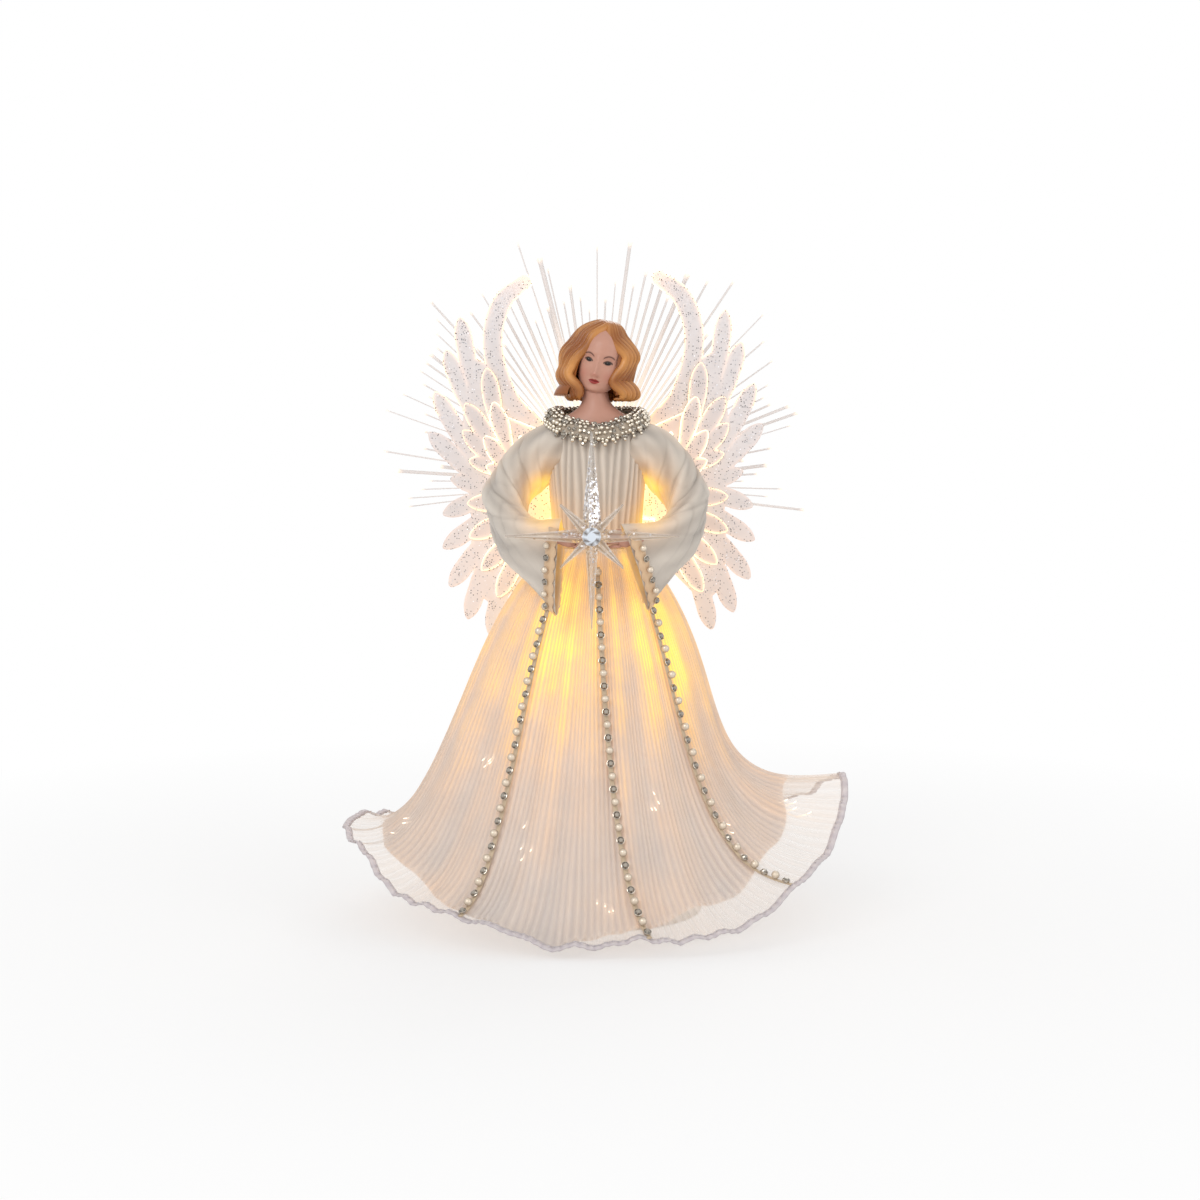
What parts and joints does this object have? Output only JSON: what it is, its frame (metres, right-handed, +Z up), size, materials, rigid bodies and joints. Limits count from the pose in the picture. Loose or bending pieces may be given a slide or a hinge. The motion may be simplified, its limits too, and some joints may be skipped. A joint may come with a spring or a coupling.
{
  "type": "christmas tree topper",
  "caption": "Lighted angel tree topper with a pleated organza dress, beaded trims, a clear star, glitter wings and a fan of glowing fibres",
  "frame": {"origin": "on the ground under the middle of the cone", "axes": "+Z up, -Y the way the angel faces, +X the side that the viewer has at the right"},
  "size_m": [0.2643, 0.2228, 0.3556],
  "materials": {
    "white_plastic": "satin",
    "organza": "sheer",
    "satin_lining": "satin",
    "hem_tape": "stitched",
    "crepe": "matt",
    "painted_resin": "painted",
    "pearl_trim": "pearl",
    "metal_beads": "satin",
    "clear_acrylic": "glittered",
    "faceted_glass": "polished",
    "glitter_sheet": "glittered",
    "steel": "satin",
    "warm_lamp": "lit",
    "lead_cover": "matt",
    "circuit_board": "satin",
    "cell_sleeve": "satin",
    "optical_fibre": "clear"
  },
  "bodies": {
    "topper": {"cone_base": "white_plastic", "battery_box": "white_plastic", "lamp_socket_1": "white_plastic", "lamp_socket_2": "white_plastic", "lamp_socket_3": "white_plastic", "lamp_socket_4": "white_plastic", "wing_bracket": "white_plastic", "fibre_lamp_housing": "white_plastic", "skirt_overlay": "organza", "skirt_lining": "satin_lining", "hem_band": "hem_tape", "bodice": "crepe", "right_sleeve": "crepe", "left_sleeve": "crepe", "bust": "painted_resin", "right_hand": "painted_resin", "left_hand": "painted_resin", "trim_strip_left": "pearl_trim", "trim_strip_centre": "pearl_trim", "trim_strip_right": "pearl_trim", "right_cuff_trim": "pearl_trim", "left_cuff_trim": "pearl_trim", "collar_beads": "metal_beads", "star": "clear_acrylic", "star_gem": "faceted_glass", "right_wing_inner": "glitter_sheet", "right_wing_middle": "glitter_sheet", "right_wing_outer": "glitter_sheet", "left_wing_inner": "glitter_sheet", "left_wing_middle": "glitter_sheet", "left_wing_outer": "glitter_sheet", "arm_armature": "steel", "contact_lower": "steel", "contact_upper": "steel", "right_wing_rivet_1": "steel", "right_wing_rivet_2": "steel", "left_wing_rivet_1": "steel", "left_wing_rivet_2": "steel", "lamp_1": "warm_lamp", "lamp_2": "warm_lamp", "lamp_3": "warm_lamp", "lamp_4": "warm_lamp", "fibre_lamp": "warm_lamp", "lamp_lead": "lead_cover", "circuit_board": "circuit_board", "battery_1": "cell_sleeve", "battery_2": "cell_sleeve", "battery_3": "cell_sleeve", "fibre_spray": "optical_fibre", "skirt_fibres": "optical_fibre"},
    "door": {"battery_door": "white_plastic"},
    "switch": {"switch_knob": "white_plastic"}
  },
  "joints": [
    {"name": "battery_door_slide", "type": "slide", "parent": "topper", "child": "door", "axis": [0, 0, -1], "range_m": [0, 0.05]},
    {"name": "switch_slide", "type": "slide", "parent": "topper", "child": "switch", "axis": [1, 0, 0], "range_m": [0, 0.004]}
  ]
}
